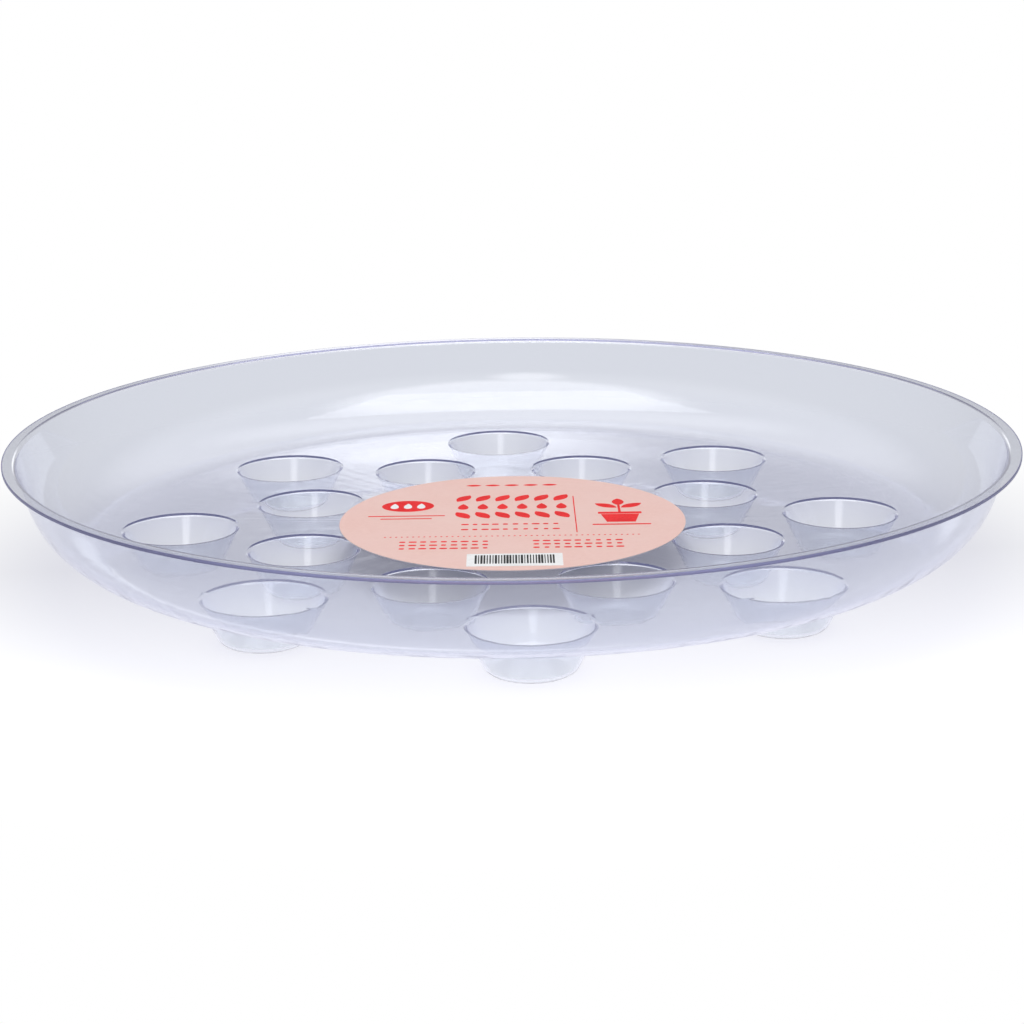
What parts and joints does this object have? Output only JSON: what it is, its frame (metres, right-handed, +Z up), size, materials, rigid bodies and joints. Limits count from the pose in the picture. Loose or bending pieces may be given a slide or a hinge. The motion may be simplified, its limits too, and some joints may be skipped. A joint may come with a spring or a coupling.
{
  "type": "plant saucer",
  "caption": "Round clear plastic saucer for a plant pot, with a flared wall, a flat lip, rings of hollow pressed feet and a round paper label on its floor.",
  "frame": {"origin": "centre of the plane that the feet stand on, on the saucer's axis", "axes": "+Z up along the saucer's axis; +X through the middle of one outer foot, and -Y towards the front"},
  "size_m": [0.3048, 0.3048, 0.0405],
  "materials": {
    "clear_plastic": "clear, glossy, with a faint violet tint that shows at edges",
    "label_paper": "matte coated paper, printed"
  },
  "bodies": {
    "root": {"saucer": "clear_plastic", "label": "label_paper"}
  },
  "joints": []
}
